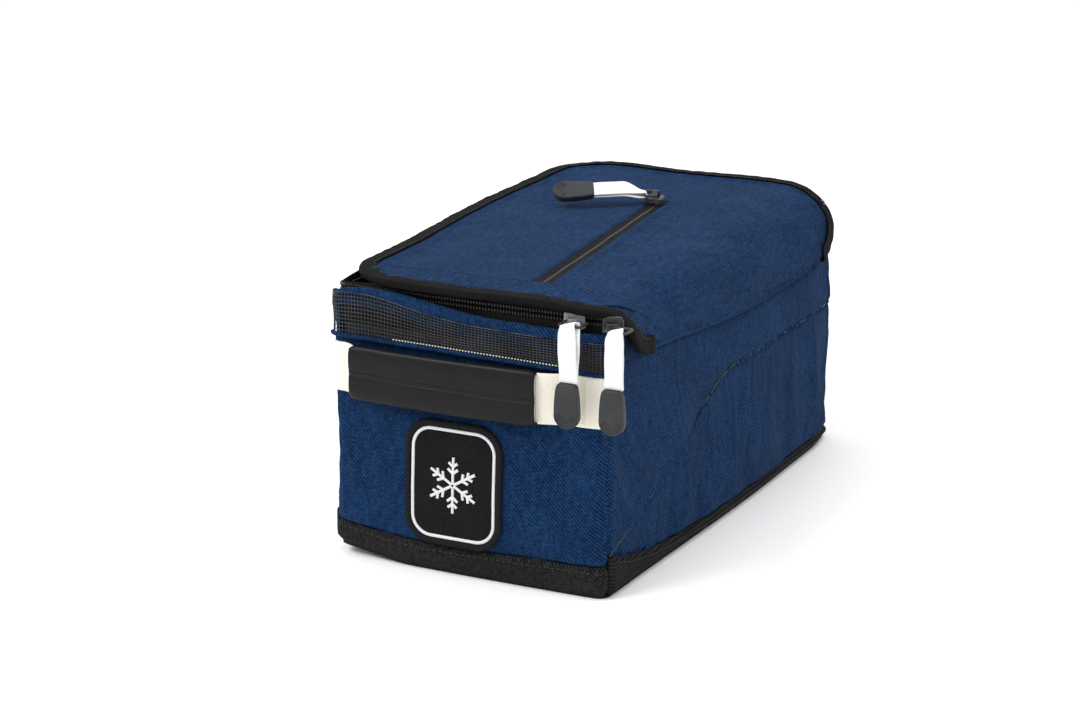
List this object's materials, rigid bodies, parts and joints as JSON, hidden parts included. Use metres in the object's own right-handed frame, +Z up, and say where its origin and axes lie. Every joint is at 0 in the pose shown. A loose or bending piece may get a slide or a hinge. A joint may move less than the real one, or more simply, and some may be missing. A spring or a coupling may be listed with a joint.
{
  "type": "sports kit bag",
  "caption": "Small boxy navy cloth kit bag with a side-hinged zipped lid, a lid pocket, a mesh vent, a webbing handle and a badge on the front, and long ribbon zip pulls.",
  "frame": {"origin": "on the ground under the middle of the base", "axes": "+Z up, +Y from the front with the handle to the back, +X to the right of the bag as seen from its front"},
  "size_m": [0.1733, 0.309, 0.1552],
  "materials": {
    "navy_cloth": "two-tone woven, matt",
    "black_cloth": "ribbed woven, matt",
    "board": "matt sheet",
    "vent_net": "open net, satin",
    "lining_cloth": "plain woven, matt",
    "light_thread": "braided, matt",
    "zip_tape": "herringbone tape, matt",
    "zip_coil": "moulded coil, satin",
    "binding": "folded tape, matt",
    "cream_webbing": "woven webbing, matt",
    "sleeve_skin": "smooth, satin",
    "badge_cloth": "twill, matt",
    "white_thread": "embroidery, satin",
    "slider_metal": "black, semi-gloss",
    "white_ribbon": "grosgrain, matt",
    "grip_rubber": "fine moulded grain, matt"
  },
  "bodies": {
    "bag": {"back_base_band": "black_cloth", "back_panel": "navy_cloth", "back_right_corner": "navy_cloth", "badge_backing": "badge_cloth", "badge_border": "white_thread", "badge_motif": "white_thread", "base_board": "board", "base_panel": "black_cloth", "body_lining": "lining_cloth", "body_zip_coil": "zip_coil", "body_zip_stops": "zip_coil", "body_zip_tape": "zip_tape", "front_base_band": "black_cloth", "front_panel": "navy_cloth", "front_right_corner": "navy_cloth", "front_top_strip": "navy_cloth", "handle_left_tab": "cream_webbing", "handle_right_tab": "cream_webbing", "left_base_band": "black_cloth", "left_side_lower_panel": "navy_cloth", "left_side_upper_panel": "navy_cloth", "right_base_band": "black_cloth", "right_side_lower_panel": "navy_cloth", "right_side_upper_panel": "navy_cloth", "rim_facing": "navy_cloth", "vent_braid": "light_thread", "vent_mesh": "vent_net", "vent_piping": "navy_cloth"},
    "lid": {"lid_panel": "navy_cloth", "lid_binding": "binding", "lid_front_band": "navy_cloth", "lid_lining": "lining_cloth", "lid_zip_tape": "zip_tape", "lid_zip_coil": "zip_coil", "pocket_zip_left_tape": "zip_tape", "pocket_zip_right_tape": "zip_tape", "pocket_zip_coil": "zip_coil", "pocket_zip_stops": "zip_coil"},
    "handle": {"handle_webbing": "cream_webbing", "handle_sleeve": "sleeve_skin"},
    "left_slider": {"left_slider": "slider_metal"},
    "left_pull": {"left_pull_loop": "slider_metal", "left_pull_ribbon": "white_ribbon", "left_pull_grip": "grip_rubber"},
    "right_slider": {"right_slider": "slider_metal"},
    "right_pull": {"right_pull_loop": "slider_metal", "right_pull_ribbon": "white_ribbon", "right_pull_grip": "grip_rubber"},
    "pocket_slider": {"pocket_slider": "slider_metal"},
    "pocket_pull": {"pocket_pull_loop": "slider_metal", "pocket_pull_ribbon": "white_ribbon", "pocket_pull_grip": "grip_rubber"}
  },
  "joints": [
    {"name": "lid_hinge", "type": "hinge", "parent": "bag", "child": "lid", "pos_m": [0.078, 0, 0.112], "axis": [0, 1, 0], "range_deg": [0, 170]},
    {"name": "handle_stand_off", "type": "slide", "parent": "bag", "child": "handle", "axis": [0, -1, 0], "range_m": [0, 0.004]},
    {"name": "left_slider_run", "type": "slide", "parent": "bag", "child": "left_slider", "axis": [-1, 0, 0], "range_m": [0, 0.126]},
    {"name": "right_slider_run", "type": "slide", "parent": "bag", "child": "right_slider", "axis": [-1, 0, 0], "range_m": [0, 0.008]},
    {"name": "pocket_slider_run", "type": "slide", "parent": "lid", "child": "pocket_slider", "axis": [0.1115, -0.9938, 0], "range_m": [0, 0.15]},
    {"name": "left_pull_swing", "type": "hinge", "parent": "left_slider", "child": "left_pull", "pos_m": [0.0585, -0.1483, 0.139], "axis": [-1, 0, 0], "range_deg": [0, 75]},
    {"name": "right_pull_swing", "type": "hinge", "parent": "right_slider", "child": "right_pull", "pos_m": [0.082, -0.1483, 0.139], "axis": [-1, 0, 0], "range_deg": [0, 75]},
    {"name": "pocket_pull_lift", "type": "hinge", "parent": "pocket_slider", "child": "pocket_pull", "pos_m": [0.00778, 0.06004, 0.1532], "axis": [-0.4695, 0.8829, 0], "range_deg": [0, 150]}
  ]
}
